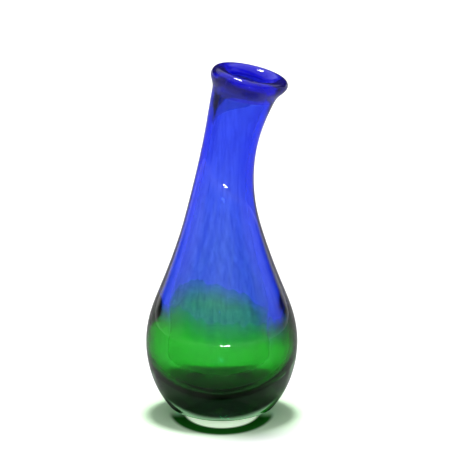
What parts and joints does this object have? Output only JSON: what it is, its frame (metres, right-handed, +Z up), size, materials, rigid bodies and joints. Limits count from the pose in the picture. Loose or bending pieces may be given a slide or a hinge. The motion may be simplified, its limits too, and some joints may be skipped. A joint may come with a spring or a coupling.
{
  "type": "art glass vase",
  "caption": "Free-standing hand blown glass vase: a heavy clear bulb over a green cup and a blue sleeve, a neck bent to one side and a thick rolled blue lip.",
  "frame": {"origin": "middle of the flat base, on the surface the vase stands on", "axes": "+Z up along the upright part of the vase; the neck bends towards +X, and XZ is the plane of symmetry"},
  "size_m": [0.1068, 0.1068, 0.2485],
  "materials": {
    "clear_glass": "fire polished clear glass",
    "green_glass": "transparent emerald glass",
    "blue_glass": "transparent cobalt glass",
    "lip_glass": "fire polished deep cobalt glass"
  },
  "bodies": {
    "root": {"clear_casing": "clear_glass", "green_cup": "green_glass", "blue_sleeve": "blue_glass", "rolled_lip": "lip_glass"}
  },
  "joints": []
}
